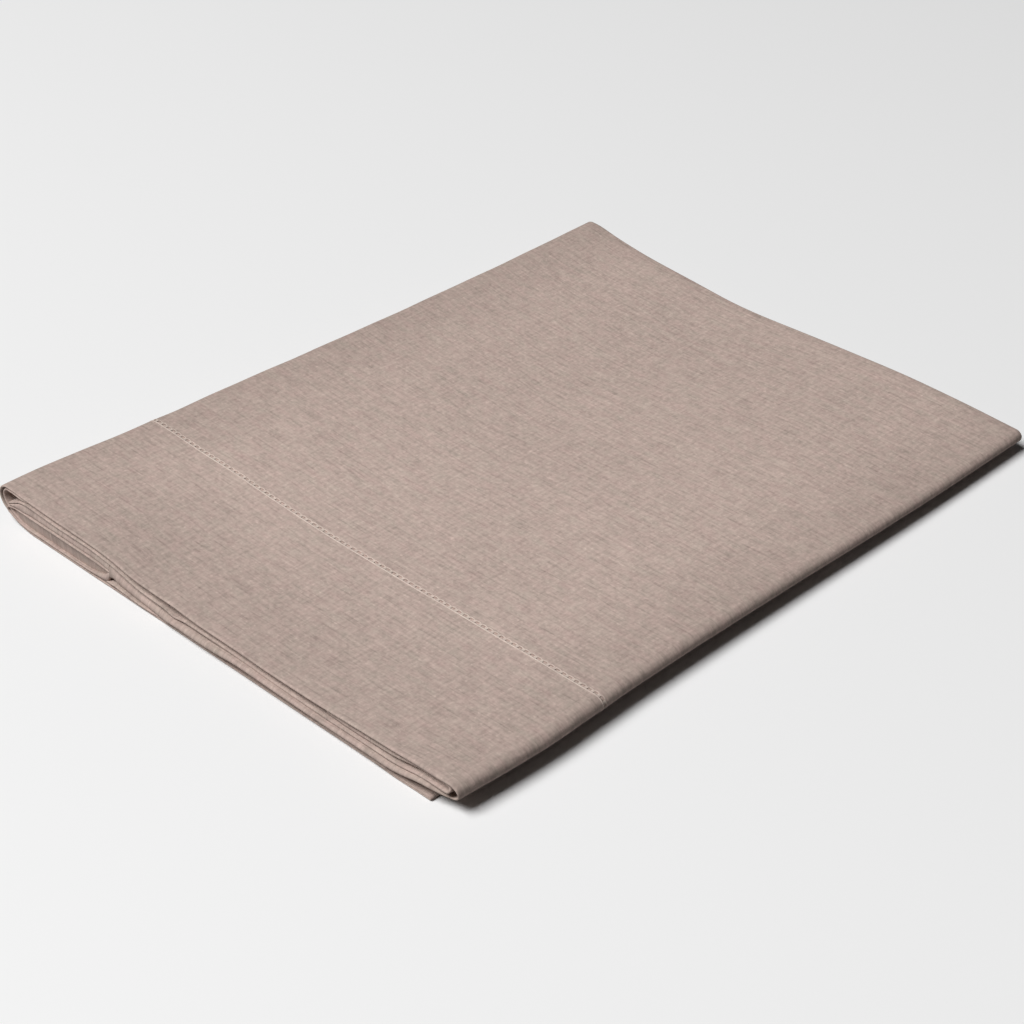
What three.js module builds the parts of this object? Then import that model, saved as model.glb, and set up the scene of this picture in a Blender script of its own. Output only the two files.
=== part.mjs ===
// A folded linen tablecloth, in millimetres, +Z up, resting on z = 0.
// The cloth is first folded in half, back on itself, and then in thirds like a letter.
// So its section across the thirds is six layers: two plies, one inside the other, that both
// run from the tucked-in third, round the right fold, over the top, round the left fold and
// back along the bottom. The two plies are one cloth, joined by the half fold at the far edge.
// The origin is the middle of the box that holds the folded cloth, on the surface.
import * as THREE from 'three';

// One layer of the folded cloth and the least space between two
const LAYER = 1.5;
const GAP = 0.3;
const PITCH = LAYER + GAP;

// Lengths along the cloth in plan, measured from the left fold and the front edge
const LENGTH = 372;
const HEM = 82;
const TUCKED_EDGE_X = 9;
const BOTTOM_EDGE_X = 278.5;

// The middle of the box that holds the folded cloth, measured from the same two
const MIDDLE_X = 146.1;
const MIDDLE_Y = 185.1;

// How far the layers stand apart at the front, above their pressed places, by distance x
// from the left fold: slot is between the bottom third and the tucked-in one, pair is
// inside the tucked-in third, middle is above it, top is under the uppermost layer.
const OPENINGS = [
  { x: 4, slot: 5.4, pair: 0.2, middle: 1.2, top: 0.0 },
  { x: 20, slot: 5.6, pair: 0.2, middle: 0.9, top: 0.2 },
  { x: 45, slot: 5.8, pair: 0.1, middle: 0.5, top: 0.3 },
  { x: 66, slot: 5.3, pair: 0.2, middle: 0.3, top: 0.4 },
  { x: 71, slot: 4.0, pair: 0.4, middle: 1.0, top: 0.6 },
  { x: 77, slot: 2.0, pair: 0.6, middle: 1.7, top: 1.0 },
  { x: 88, slot: 1.6, pair: 0.8, middle: 0.9, top: 1.4 },
  { x: 98, slot: 1.0, pair: 0.6, middle: 0.8, top: 1.5 },
  { x: 110, slot: 0.5, pair: 0.3, middle: 0.7, top: 2.0 },
  { x: 124, slot: 0.1, pair: 0.0, middle: 0.2, top: 2.8 },
  { x: 139, slot: 0.3, pair: 0.2, middle: 0.6, top: 1.3 },
  { x: 163, slot: 0.3, pair: 0.1, middle: 0.5, top: 1.0 },
  { x: 190, slot: 0.1, pair: 0.0, middle: 0.8, top: 1.0 },
  { x: 217, slot: 0.1, pair: 0.0, middle: 1.3, top: 0.2 },
  { x: 242, slot: 0.6, pair: 0.0, middle: 1.8, top: 0.4 },
  { x: 268, slot: 2.6, pair: 0.2, middle: 1.2, top: 0.4 },
  { x: 280, slot: 3.4, pair: 0.2, middle: 0.6, top: 0.3 },
  { x: 295, slot: 3.5, pair: 0.1, middle: 0.3, top: 0.2 },
];

// The share of those openings that is left at the far edge
const FAR_SHARE = 0.22;

// The outline in plan: where the front and far edges lie, by distance x from the left fold,
// and how far the top and bottom thirds draw back from the front edge
const EDGES = [
  { x: 0, front: -4.7, far: 374.0, top: 0.9, bottom: 0.9 },
  { x: 8, front: -4.5, far: 373.8, top: 1.4, bottom: 0.4 },
  { x: 26, front: -4.0, far: 370.4, top: 1.3, bottom: 0.0 },
  { x: 57, front: -3.2, far: 366.8, top: 1.1, bottom: 0.1 },
  { x: 88, front: -2.4, far: 365.2, top: 0.4, bottom: 0.3 },
  { x: 116, front: -1.6, far: 364.0, top: 0.0, bottom: 0.6 },
  { x: 154, front: -0.6, far: 366.9, top: 0.0, bottom: 0.9 },
  { x: 189, front: 0.3, far: 370.3, top: 0.0, bottom: 1.0 },
  { x: 225, front: 1.3, far: 372.2, top: 0.0, bottom: 0.8 },
  { x: 262, front: 2.2, far: 371.8, top: 0.0, bottom: 0.4 },
  { x: 294, front: 3.1, far: 370.8, top: 0.0, bottom: 0.0 },
];

// The side folds, by the share of the way from the front edge to the far one: left and right
// are the outermost places of the cloth's middle line, hollow is the space inside the right
// fold, and foot is how far from the left fold the cloth comes down to the surface
const SIDES = [
  { way: 0.0, left: -1.5, right: 291.4, hollow: 3.9, foot: 21 },
  { way: 0.07, left: -1.5, right: 293.6, hollow: 2.8, foot: 20 },
  { way: 0.14, left: -0.3, right: 293.8, hollow: 1.9, foot: 19 },
  { way: 0.22, left: 0.8, right: 292.5, hollow: 1.2, foot: 18 },
  { way: 0.35, left: 1.6, right: 291.2, hollow: 0.7, foot: 17 },
  { way: 0.55, left: 2.3, right: 290.2, hollow: 0.4, foot: 16 },
  { way: 0.78, left: 0.8, right: 289.6, hollow: 0.3, foot: 14 },
  { way: 1.0, left: -1.4, right: 287.6, hollow: 0.2, foot: 13 },
];

// Shape of the folds: how far the right fold reaches, as a share of its half height, and
// the left fold's upper corner, across and down, at the front edge and at the far one
const RIGHT_REACH = 1.25;
const LEFT_CORNER = { front: { across: 5.4, down: 5.0 }, far: { across: 4.0, down: 3.8 } };

// Steps along the letter fold and from the front edge to the far one
const STEPS = { tucked: 24, right: 8, top: 25, corner: 5, foot: 8, bottom: 10 };
const WAYS = [0, 0.035, 0.08, 0.14, 0.22, 0.33, 0.45, 0.58, 0.71, 0.83, 0.93, 1];
const HALF_FOLD_STEPS = 5;

// The two plies: the layers that they are in each third, counted from the lowest, and how far
// inside the outer ply's folds they turn
const OUTSIDE = { tucked: 2, top: 5, bottom: 0, inset: 0 };
const INSIDE = { tucked: 3, top: 4, bottom: 1, inset: PITCH };

// The value of a table's column at a place, on a smooth curve through its rows
function follow(table, key, column, place) {
  const last = table.length - 1;
  const at = THREE.MathUtils.clamp(place, table[0][key], table[last][key]);
  let i = 0;
  while (i < last - 1 && table[i + 1][key] < at) i += 1;
  const slope = (k) => {
    const before = table[Math.max(k - 1, 0)];
    const after = table[Math.min(k + 1, last)];
    return (after[column] - before[column]) / (after[key] - before[key]);
  };
  const span = table[i + 1][key] - table[i][key];
  const u = (at - table[i][key]) / span;
  const rise = (3 - 2 * u) * u * u;
  const here = table[i][column] * (1 - rise) + table[i + 1][column] * rise;
  const bend = slope(i) * u * (1 - u) * (1 - u) - slope(i + 1) * u * u * (1 - u);
  return here + span * bend;
}

// The share of the front openings that is left on the way to the far edge
function keptShare(way) {
  const u = THREE.MathUtils.smoothstep(way, HEM / LENGTH, 1);
  return 1 + (FAR_SHARE - 1) * u;
}

// The heights of the six layers' middles, from the lowest to the uppermost
function layerHeights(x, way) {
  const share = keptShare(way);
  const open = (column) => Math.max(0, follow(OPENINGS, 'x', column, x)) * share;
  const extra = [0, 0, open('slot'), open('pair'), open('middle'), open('top')];
  let height = LAYER / 2;
  return extra.map((more, layer) => {
    height += layer > 0 ? PITCH + more : 0;
    return height;
  });
}

// A point of an ellipse's quarter, moved towards its inside by an inset
function quarterPoint(centre, acrossPart, downPart, inset) {
  const { x, z, across, down } = centre;
  const inward = new THREE.Vector2(down * acrossPart, across * downPart).normalize();
  return {
    x: x - across * acrossPart + inset * inward.x,
    z: z + down * downPart - inset * inward.y,
  };
}

// The left fold of one ply: a corner above and a long foot below, down to the surface
function leftFold(ply, way) {
  const side = (column) => follow(SIDES, 'way', column, way);
  const corner = (size) => {
    const { front, far } = LEFT_CORNER;
    return THREE.MathUtils.lerp(front[size], far[size], way);
  };
  const left = side('left');
  const across = corner('across');
  const down = corner('down');
  const start = left + across;
  const top = layerHeights(start, way)[OUTSIDE.top];
  const shoulder = top - down;
  const upper = { x: start, z: shoulder, across, down };
  const lower = { x: side('foot'), z: shoulder };
  lower.across = lower.x - left;
  lower.down = shoulder - LAYER / 2;
  const points = [];
  for (let i = 0; i < STEPS.corner; i += 1) {
    const turn = (i / STEPS.corner) * Math.PI / 2;
    points.push(quarterPoint(upper, Math.sin(turn), Math.cos(turn), ply.inset));
  }
  for (let i = 0; i < STEPS.foot; i += 1) {
    const turn = (i / STEPS.foot) * Math.PI / 2;
    points.push(quarterPoint(lower, Math.cos(turn), -Math.sin(turn), ply.inset));
  }
  return points;
}

// The right fold of one ply: half an ellipse between the tucked-in layer and the top one
function rightFold(ply, way) {
  const side = (column) => follow(SIDES, 'way', column, way);
  const tip = side('right') - (ply.inset > 0 ? ply.inset + side('hollow') : 0);
  const heights = layerHeights(tip - PITCH, way);
  const low = heights[ply.tucked];
  const halfHeight = (heights[ply.top] - low) / 2;
  const reach = RIGHT_REACH * halfHeight;
  const points = [];
  for (let i = 0; i < STEPS.right; i += 1) {
    const turn = (i / STEPS.right) * Math.PI;
    const x = tip - reach * (1 - Math.sin(turn));
    points.push({ x, z: low + halfHeight * (1 - Math.cos(turn)) });
  }
  return points;
}

// Points of one layer between two places, at its height
function layerLine(layer, from, to, steps, way) {
  return Array.from({ length: steps }, (unused, i) => {
    const x = THREE.MathUtils.lerp(from, to, i / steps);
    return { x, z: layerHeights(x, way)[layer] };
  });
}

// Points of one ply's middle line, all along the letter fold, at one way, with the name of
// the third that each is in
function plyLine(ply, way) {
  const right = rightFold(ply, way);
  const left = leftFold(ply, way);
  const rightX = right[0].x;
  const footX = follow(SIDES, 'way', 'foot', way);
  const tucked = layerLine(ply.tucked, TUCKED_EDGE_X, rightX, STEPS.tucked, way);
  const top = layerLine(ply.top, rightX, left[0].x, STEPS.top, way);
  const bottom = layerLine(ply.bottom, footX, BOTTOM_EDGE_X, STEPS.bottom, way);
  bottom.push({ x: BOTTOM_EDGE_X, z: bottom[0].z });
  const named = (points, third) => points.map((point) => ({ ...point, third }));
  return [
    ...named(tucked, 'tucked'),
    ...named([...right, ...top, ...left.slice(0, STEPS.corner)], 'top'),
    ...named([...left.slice(STEPS.corner), ...bottom], 'bottom'),
  ];
}

// Where the front edge of a third lies at a place
function frontEdge(third, x) {
  const drawnBack = third === 'tucked' ? 0 : follow(EDGES, 'x', third, x);
  return follow(EDGES, 'x', 'front', x) + drawnBack;
}

// One row of points in space, across all the layers of one ply
function plyRow(ply, way) {
  return plyLine(ply, way).map(({ x, z, third }) => {
    const front = frontEdge(third, x);
    const far = follow(EDGES, 'x', 'far', x) - PITCH / 2;
    const y = THREE.MathUtils.lerp(front, far, way);
    return new THREE.Vector3(x - MIDDLE_X, y - MIDDLE_Y, z);
  });
}

// The rows of the half fold at the far edge, from the ply outside to the ply inside
function halfFoldRows(outside, inside) {
  const rows = [];
  for (let i = 1; i < HALF_FOLD_STEPS; i += 1) {
    const turn = (i / HALF_FOLD_STEPS) * Math.PI;
    rows.push(outside.map((start, s) => {
      const middle = start.clone().add(inside[s]).multiplyScalar(0.5);
      const half = start.clone().sub(inside[s]).multiplyScalar(0.5);
      const bulge = PITCH / 2 * Math.sin(turn);
      return middle.addScaledVector(half, Math.cos(turn)).add(new THREE.Vector3(0, bulge, 0));
    }));
  }
  return rows;
}

// The middle surface of the whole cloth, as rows of points
function middleRows() {
  const outside = WAYS.map((way) => plyRow(OUTSIDE, way));
  const inside = WAYS.map((way) => plyRow(INSIDE, way)).reverse();
  const fold = halfFoldRows(outside[outside.length - 1], inside[0]);
  return [...outside, ...fold, ...inside];
}

// The unit normal at each point of the rows
function rowNormals(rows) {
  const lastRow = rows.length - 1;
  return rows.map((row, r) => row.map((point, s) => {
    const alongRow = row[Math.min(s + 1, row.length - 1)].clone().sub(row[Math.max(s - 1, 0)]);
    const acrossRows = rows[Math.min(r + 1, lastRow)][s].clone();
    acrossRows.sub(rows[Math.max(r - 1, 0)][s]);
    return alongRow.cross(acrossRows).normalize();
  }));
}

// The closed sheet: the middle surface moved half a layer to each side, and rims all round
function sheetGeometry(rows) {
  const normals = rowNormals(rows);
  const columns = rows[0].length;
  const count = rows.length * columns;
  const positions = [];
  for (const half of [LAYER / 2, -LAYER / 2]) {
    rows.forEach((row, r) => row.forEach((point, s) => {
      positions.push(...point.clone().addScaledVector(normals[r][s], half).toArray());
    }));
  }
  const indices = [];
  const quad = (a, b, c, d) => indices.push(a, b, c, a, c, d);
  for (let r = 0; r < rows.length - 1; r += 1) {
    for (let s = 0; s < columns - 1; s += 1) {
      const a = r * columns + s;
      const b = a + columns;
      quad(a, a + 1, b + 1, b);
      quad(a + count, b + count, b + 1 + count, a + 1 + count);
    }
  }
  for (let s = 0; s < columns - 1; s += 1) {
    const end = (rows.length - 1) * columns + s;
    quad(s, s + count, s + 1 + count, s + 1);
    quad(end, end + 1, end + 1 + count, end + count);
  }
  for (let r = 0; r < rows.length - 1; r += 1) {
    const first = r * columns;
    const last = first + columns - 1;
    quad(first, first + columns, first + columns + count, first + count);
    quad(last, last + count, last + columns + count, last + columns);
  }
  const geometry = new THREE.BufferGeometry();
  geometry.setAttribute('position', new THREE.Float32BufferAttribute(positions, 3));
  geometry.setIndex(indices);
  geometry.computeVertexNormals();
  return geometry;
}

const linen = new THREE.MeshStandardMaterial({
  color: 0xb0a094,
  roughness: 0.95,
  metalness: 0,
  side: THREE.FrontSide,
});

const cloth = new THREE.Mesh(sheetGeometry(middleRows()), linen);
cloth.name = 'folded_cloth';

const tablecloth = new THREE.Group();
tablecloth.add(cloth);

export default tablecloth;
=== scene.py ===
"""A folded linen tablecloth with a hemstitched edge, lying flat.

The cloth is one thin sheet. It is folded in half and then in thirds like a letter, with deep
hems turned along its front edges and its side edges. Sizes are in millimetres, x from the left
fold and y from the front edge, until a mesh is made, in metres, in the frame of the part.

The half fold makes two plies: the outer one, which is on top, and the inner one. Each runs
through the tucked-in third, the top third and the bottom third, which gives six layers from
the top down: top, second, third, fourth, fifth and lowest. The second, third and fifth belong
to the inner ply.
"""

import math

import bpy
import numpy as np
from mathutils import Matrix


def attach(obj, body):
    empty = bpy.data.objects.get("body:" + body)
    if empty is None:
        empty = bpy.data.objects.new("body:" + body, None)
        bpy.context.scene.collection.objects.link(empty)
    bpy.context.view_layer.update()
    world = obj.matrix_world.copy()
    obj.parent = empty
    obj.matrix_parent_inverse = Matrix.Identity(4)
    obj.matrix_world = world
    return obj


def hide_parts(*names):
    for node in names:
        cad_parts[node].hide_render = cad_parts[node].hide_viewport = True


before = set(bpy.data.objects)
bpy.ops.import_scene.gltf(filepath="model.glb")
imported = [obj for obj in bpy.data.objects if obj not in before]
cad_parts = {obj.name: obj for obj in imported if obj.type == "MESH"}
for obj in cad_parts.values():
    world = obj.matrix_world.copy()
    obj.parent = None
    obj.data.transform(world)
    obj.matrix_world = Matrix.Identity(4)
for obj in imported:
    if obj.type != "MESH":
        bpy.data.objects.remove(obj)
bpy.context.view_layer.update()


# Tables and curves


def table(columns, *rows):
    """Rows of numbers under named columns."""
    return dict(zip(columns.split(), np.array(rows, float).T))


def follow(rows, key, column, place):
    """The column's value at each place, on a smooth curve through the rows: a cubic between
    each two rows, whose slope at a row is that between the rows on both sides of it."""
    at = np.clip(place, rows[key][0], rows[key][-1])
    keys, values = rows[key], rows[column]
    last = len(keys) - 1
    before = np.maximum(np.arange(last + 1) - 1, 0)
    after = np.minimum(np.arange(last + 1) + 1, last)
    slope = (values[after] - values[before]) / (keys[after] - keys[before])
    i = np.clip(np.searchsorted(keys, at, side="left") - 1, 0, last - 1)
    span = keys[i + 1] - keys[i]
    u = (at - keys[i]) / span
    rise = (3 - 2 * u) * u * u
    here = values[i] * (1 - rise) + values[i + 1] * rise
    bend = slope[i] * u * (1 - u) ** 2 - slope[i + 1] * u * u * (1 - u)
    return here + span * bend


def smooth_step(value, low, high):
    """0 below low, 1 above high, and an even S between them."""
    u = np.clip((value - low) / (high - low), 0, 1)
    return u * u * (3 - 2 * u)


# Sizes of the folded cloth

# From the front edge to the far fold, the depth of the front hem, half the width of its
# hemstitch, and the thickness of the cloth
LENGTH = 372.0
HEM = 82.0
GAP_HALF = 0.62
PLY = 0.44

# How far the sheet's middle reaches past the far outline, and past those of the side folds
FAR_EXTRA = 0.5
SIDE_EXTRA = 0.2

# The middle of the part's frame
MIDDLE_X, MIDDLE_Y = 146.1, 185.1

# The tucked third's side edge and the inner edge of its side hem, and the same of the bottom
TUCKED_X, SIDE_HEM_X = 4.9, 76.4
BOTTOM_X, BOTTOM_HEM_X = 276.8, 211.0

# The share of the front edge's heights that is left at the far fold
FAR_SHARE = 0.22

# Heights of the layers' middles where the cloth is pressed, at the far edge
PRESSED = {
    "top": 9.95, "second": 7.95, "third": 6.15, "third_hem": 5.55, "fourth_hem": 4.95,
    "fourth": 4.35, "fifth": 2.55, "fifth_hem": 1.95, "lowest_hem": 1.3, "lowest": 0.5,
}

# Heights of the layers' middles at the front edge, by distance x from the left fold
FRONT = table(
    "x top second third fourth fifth",
    (4, 18.7, 17.0, 10.4, 5.8, 1.5),
    (5, 18.65, 17.0, 10.7, 5.2, 1.5),
    (8, 18.45, 17.0, 12.1, 3.9, 1.45),
    (11, 18.15, 16.7, 13.6, 3.1, 1.43),
    (14, 17.8, 16.3, 14.7, 2.6, 1.43),
    (20, 17.45, 16.1, 15.2, 2.37, 1.43),
    (30, 17.1, 15.8, 14.8, 2.36, 1.43),
    (40, 16.85, 15.6, 14.45, 2.36, 1.43),
    (57, 16.6, 15.5, 14.55, 2.36, 1.43),
    (62, 16.5, 15.5, 14.55, 2.4, 1.43),
    (66, 16.45, 15.4, 14.4, 2.65, 1.5),
    (70, 16.3, 15.1, 14.05, 3.0, 1.6),
    (72, 16.2, 15.0, 13.85, 3.3, 1.65),
    (73.5, 16.1, 14.9, 13.7, 3.9, 1.7),
    (74.7, 16.0, 14.8, 13.55, 5.0, 1.85),
    (75.6, 15.95, 14.75, 13.45, 5.7, 2.1),
    (76.45, 15.9, 14.7, 13.35, 6.5, 2.6),
    (76.75, 15.85, 14.65, 13.3, 8.9, 2.9),
    (77.6, 15.8, 14.6, 13.25, 9.1, 3.2),
    (79, 15.7, 14.45, 13.05, 9.1, 3.5),
    (80, 15.6, 14.3, 12.9, 8.8, 3.6),
    (82, 15.4, 14.0, 12.5, 7.8, 3.5),
    (84, 15.1, 13.7, 12.1, 7.1, 3.5),
    (90, 14.1, 12.6, 10.85, 6.05, 2.95),
    (97, 13.35, 11.8, 9.55, 5.05, 2.3),
    (104, 13.15, 11.6, 9.0, 4.6, 1.85),
    (110, 13.05, 11.5, 8.75, 4.4, 1.5),
    (115, 13.05, 11.5, 8.3, 4.4, 1.5),
    (118, 13.05, 11.4, 7.6, 4.7, 1.5),
    (120.5, 12.95, 11.3, 7.15, 4.95, 1.5),
    (124, 12.75, 11.1, 7.7, 5.15, 1.5),
    (128, 12.35, 10.9, 8.3, 5.3, 1.5),
    (139, 11.8, 10.4, 8.4, 5.2, 1.5),
    (150, 11.7, 10.2, 8.4, 5.6, 1.5),
    (163, 11.65, 10.1, 8.3, 6.55, 1.6),
    (178, 11.3, 9.8, 7.65, 6.3, 1.7),
    (190, 11.3, 9.6, 7.25, 5.95, 1.7),
    (205, 11.4, 9.4, 7.1, 5.55, 1.7),
    (217, 11.75, 9.1, 6.9, 5.3, 1.65),
    (230, 12.3, 8.9, 7.05, 5.4, 1.65),
    (242, 12.85, 9.2, 7.25, 5.45, 1.65),
    (255, 13.35, 9.9, 7.35, 5.3, 1.65),
    (262, 13.8, 10.9, 8.0, 6.1, 1.65),
    (270, 14.4, 11.9, 9.25, 7.45, 1.65),
    (276, 14.5, 12.0, 9.6, 7.75, 1.65),
    (282, 14.6, 12.2, 9.7, 7.1, 1.65),
    (286, 14.8, 12.4, 9.6, 6.1, 1.65),
    (295, 15.0, 12.8, 9.6, 6.2, 1.65),
)

# The same heights without the small folds of the edge, which fade out within CALM_REACH
CALM = table(
    "x top second third fourth_hem fourth fifth",
    (4, 17.2, 14.9, 12.6, 6.3, 5.6, 2.7),
    (60, 16.7, 14.6, 12.4, 6.3, 5.6, 2.7),
    (110, 14.9, 12.3, 9.6, 6.1, 5.4, 2.7),
    (170, 13.2, 10.9, 8.4, 6.1, 5.4, 2.7),
    (230, 13.1, 10.7, 8.3, 6.1, 5.4, 2.7),
    (295, 14.4, 12.2, 9.4, 6.5, 5.8, 2.7),
)
CALM_REACH = 75.0

# How far each layer is drawn back from the front edge, or forward where it is below zero
BACK = table(
    "x top second third fourth fifth lowest",
    (0, -0.2, 0.4, 0.0, -0.2, 0.5, 0.6),
    (8, 0.3, 0.4, 0.0, -0.2, 0.6, 0.3),
    (16, 0.4, 0.7, 0.0, -0.3, 0.7, 0.2),
    (19, 0.5, 1.5, 0.0, -0.4, 0.7, 0.1),
    (22, 0.5, 3.2, 0.0, -0.4, 0.7, 0.0),
    (28, 0.5, 4.0, 0.0, -0.4, 0.7, 0.0),
    (57, 0.5, 4.0, 0.0, -0.4, 0.7, 0.0),
    (72, 0.4, 4.0, 0.0, -0.2, 0.6, 0.0),
    (76, 0.3, 4.0, 0.0, 0.15, -0.3, 0.1),
    (82, 0.2, 4.0, 0.0, 0.05, -0.9, 0.1),
    (90, 0.1, 4.2, 0.0, 0.0, -0.9, 0.1),
    (100, 0.1, 4.5, 0.0, 0.0, -0.7, 0.1),
    (110, 0.0, 4.5, 0.0, -0.6, 0.2, 0.1),
    (119, 0.0, 4.2, 0.0, -1.9, 1.6, 0.1),
    (128, 0.0, 3.8, 0.0, -2.1, 1.6, 0.1),
    (154, 0.0, 4.2, 0.0, -2.2, 1.6, 0.1),
    (189, 0.0, 4.0, 0.0, -2.2, 1.6, 0.1),
    (208, 0.0, 3.6, 0.0, -2.0, 1.6, 0.1),
    (216, 0.0, 1.6, 0.0, -1.9, 1.6, 0.1),
    (225, 0.0, 1.2, 0.0, -1.9, 1.6, 0.1),
    (245, 0.0, 1.2, 0.0, -1.9, 1.6, 0.1),
    (258, 0.0, 1.1, 0.0, -1.7, 1.0, -0.2),
    (268, 0.0, 1.3, 0.0, -1.5, 0.4, 0.0),
    (280, 0.0, 1.6, 0.0, -0.4, 0.0, 0.0),
    (286, 0.0, 1.2, 0.0, 1.8, 0.0, 0.0),
    (295, 0.2, 0.2, 0.0, 1.8, 0.0, 0.0),
)

# Half the distance between the face of each layer's hem and its turned back, at the front
# edge. Within LOFT_REACH of the edge it passes into the distance of the pressed cloth
LOFT = table(
    "x top second third fourth fifth lowest",
    (0, 0.30, 0.28, 0.26, 0.22, 0.20, 0.22),
    (14, 0.36, 0.28, 0.26, 0.20, 0.20, 0.22),
    (57, 0.40, 0.28, 0.28, 0.20, 0.20, 0.22),
    (62, 0.40, 0.28, 0.28, 0.22, 0.20, 0.22),
    (66, 0.40, 0.28, 0.28, 0.42, 0.20, 0.22),
    (70, 0.42, 0.28, 0.28, 0.75, 0.20, 0.22),
    (72, 0.42, 0.28, 0.28, 1.05, 0.20, 0.22),
    (73.5, 0.42, 0.28, 0.28, 1.5, 0.20, 0.22),
    (74.7, 0.42, 0.28, 0.28, 2.3, 0.22, 0.22),
    (75.6, 0.42, 0.28, 0.28, 1.6, 0.24, 0.22),
    (76.45, 0.42, 0.28, 0.28, 0.95, 0.24, 0.22),
    (76.75, 0.42, 0.28, 0.28, 3.3, 0.24, 0.22),
    (77.6, 0.42, 0.28, 0.28, 3.3, 0.24, 0.22),
    (79, 0.42, 0.28, 0.28, 3.0, 0.24, 0.22),
    (80, 0.42, 0.28, 0.29, 2.8, 0.24, 0.22),
    (82, 0.42, 0.28, 0.30, 2.65, 0.24, 0.22),
    (84, 0.42, 0.29, 0.30, 2.45, 0.24, 0.22),
    (90, 0.42, 0.30, 0.30, 2.00, 0.24, 0.22),
    (97, 0.42, 0.31, 0.30, 1.85, 0.24, 0.22),
    (104, 0.42, 0.32, 0.30, 1.80, 0.24, 0.22),
    (110, 0.42, 0.34, 0.30, 1.75, 0.24, 0.22),
    (115, 0.42, 0.34, 0.30, 1.35, 0.24, 0.22),
    (118, 0.42, 0.34, 0.30, 1.10, 0.24, 0.22),
    (120.5, 0.42, 0.34, 0.30, 0.80, 0.24, 0.22),
    (124, 0.42, 0.34, 0.32, 0.90, 0.24, 0.22),
    (128, 0.42, 0.34, 0.34, 1.10, 0.24, 0.22),
    (139, 0.42, 0.34, 0.36, 1.10, 0.24, 0.22),
    (150, 0.44, 0.34, 0.40, 1.10, 0.24, 0.22),
    (163, 0.44, 0.34, 0.40, 0.95, 0.24, 0.22),
    (178, 0.44, 0.34, 0.39, 0.80, 0.24, 0.22),
    (190, 0.44, 0.34, 0.38, 0.65, 0.24, 0.22),
    (205, 0.44, 0.36, 0.36, 0.70, 0.24, 0.22),
    (217, 0.43, 0.50, 0.36, 0.70, 0.24, 0.22),
    (225, 0.42, 0.60, 0.36, 0.75, 0.24, 0.22),
    (230, 0.42, 0.60, 0.36, 0.75, 0.24, 0.22),
    (242, 0.42, 0.60, 0.36, 0.80, 0.24, 0.22),
    (255, 0.42, 0.60, 0.36, 0.85, 0.24, 0.22),
    (262, 0.50, 0.60, 0.34, 0.85, 0.24, 0.22),
    (270, 0.72, 0.45, 0.34, 0.75, 0.24, 0.22),
    (276, 0.72, 0.42, 0.34, 0.72, 0.24, 0.22),
    (280, 0.72, 0.40, 0.34, 0.68, 0.24, 0.22),
    (282, 0.63, 0.38, 0.33, 0.6, 0.24, 0.22),
    (286, 0.45, 0.35, 0.30, 0.24, 0.24, 0.22),
    (295, 0.30, 0.30, 0.26, 0.22, 0.24, 0.22),
)
PRESSED_LOFT = 0.26
LOFT_REACH = 30.0

# The shape of a puffed roll at the front edge: how far its upper and lower parts are rounded
# back, and how far it leans back, as shares of its puff
ROUND_OVER, ROUND_UNDER, LEAN = 0.5, 0.12, 0.5

# The fourth layer's roll stands steeper round one place, where the side hem ends beside it
STEEP = {"x": 77.4, "share": 0.3, "from": 0.9, "to": 6}

# The tucked side hems: the lip's half thickness, the room left under the third layer, the
# share of its puff by which a hem leans back, and how far the inner hem is moved back. The
# last two change between two places x on the way from the left fold
LIP_LOFT = 0.25
LEAST_ROOM = 0.92
HEM_LEAN = {"share": 0.8, "left": 0.2, "from": 11, "to": 20}
HEM_BACK = {"right": 0.1, "left": -0.3, "from": 14, "to": 21}

# The wall that closes the slot under the lip: the gap above it, where it rises and sinks again
# on the way back from the front edge, the share of its height by which it leans forward, and
# where it starts and is full on the way from the side edge
WALL_GAP = 0.25
WALL_FROM, WALL_TO, WALL_FADES, WALL_ENDS = 1.5, 3.0, 7.0, 30.0
WALL_LEAN, WALL_LEAN_ENDS = 0.32, 9.0
WALL_START = (0.2, 3.0)

# The side hem of the tucked-in third: the upper lip of its open end
LIP = table(
    "x lip",
    (4, 8.35),
    (5, 8.6),
    (6, 8.95),
    (8, 9.3),
    (10, 9.5),
    (14, 9.6),
    (20, 9.65),
    (60, 9.65),
    (66, 9.5),
    (70, 9.25),
    (74, 8.75),
    (77, 8.2),
)

# The outline in plan, by distance x from the left fold
EDGES = table(
    "x front far",
    (0, -4.7, 374.0),
    (8, -4.5, 373.8),
    (26, -4.0, 370.4),
    (57, -3.2, 366.8),
    (88, -2.4, 365.2),
    (116, -1.6, 364.0),
    (154, -0.6, 366.9),
    (189, 0.3, 370.3),
    (225, 1.3, 372.2),
    (262, 2.2, 371.8),
    (294, 3.1, 370.8),
)

# The side folds, by the share of the way from the front edge to the far one: their outlines,
# the hollow in the right one, and where the left one's foot ends
SIDES = table(
    "way left right hollow foot",
    (0.0, -1.2, 292.4, 3.0, 21),
    (0.07, -1.5, 293.6, 2.2, 20),
    (0.14, -0.3, 293.8, 1.6, 19),
    (0.22, 0.8, 292.5, 1.1, 18),
    (0.35, 1.6, 291.2, 0.7, 17),
    (0.55, 2.3, 290.2, 0.4, 16),
    (0.78, 0.8, 289.6, 0.3, 14),
    (1.0, -1.4, 287.6, 0.2, 13),
)

# The right fold's reach in half heights, and the left fold's upper corner: how far it reaches
# across and down at the front edge and at the far one
RIGHT_REACH = 1.25
CORNER_ACROSS = (5.4, 4.0)
CORNER_DOWN = (5.5, 3.8)

# How far the inner ply lies inside the folds, and between which places x and angles of the left
# fold's foot it settles onto its own heights
INSET = 2.0
SETTLES_X, SETTLES_TURN = (6, 20), (0.5, 1.4)

# How far past the left fold's foot the bottom third starts
AFTER_FOOT = 1.0

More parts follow.
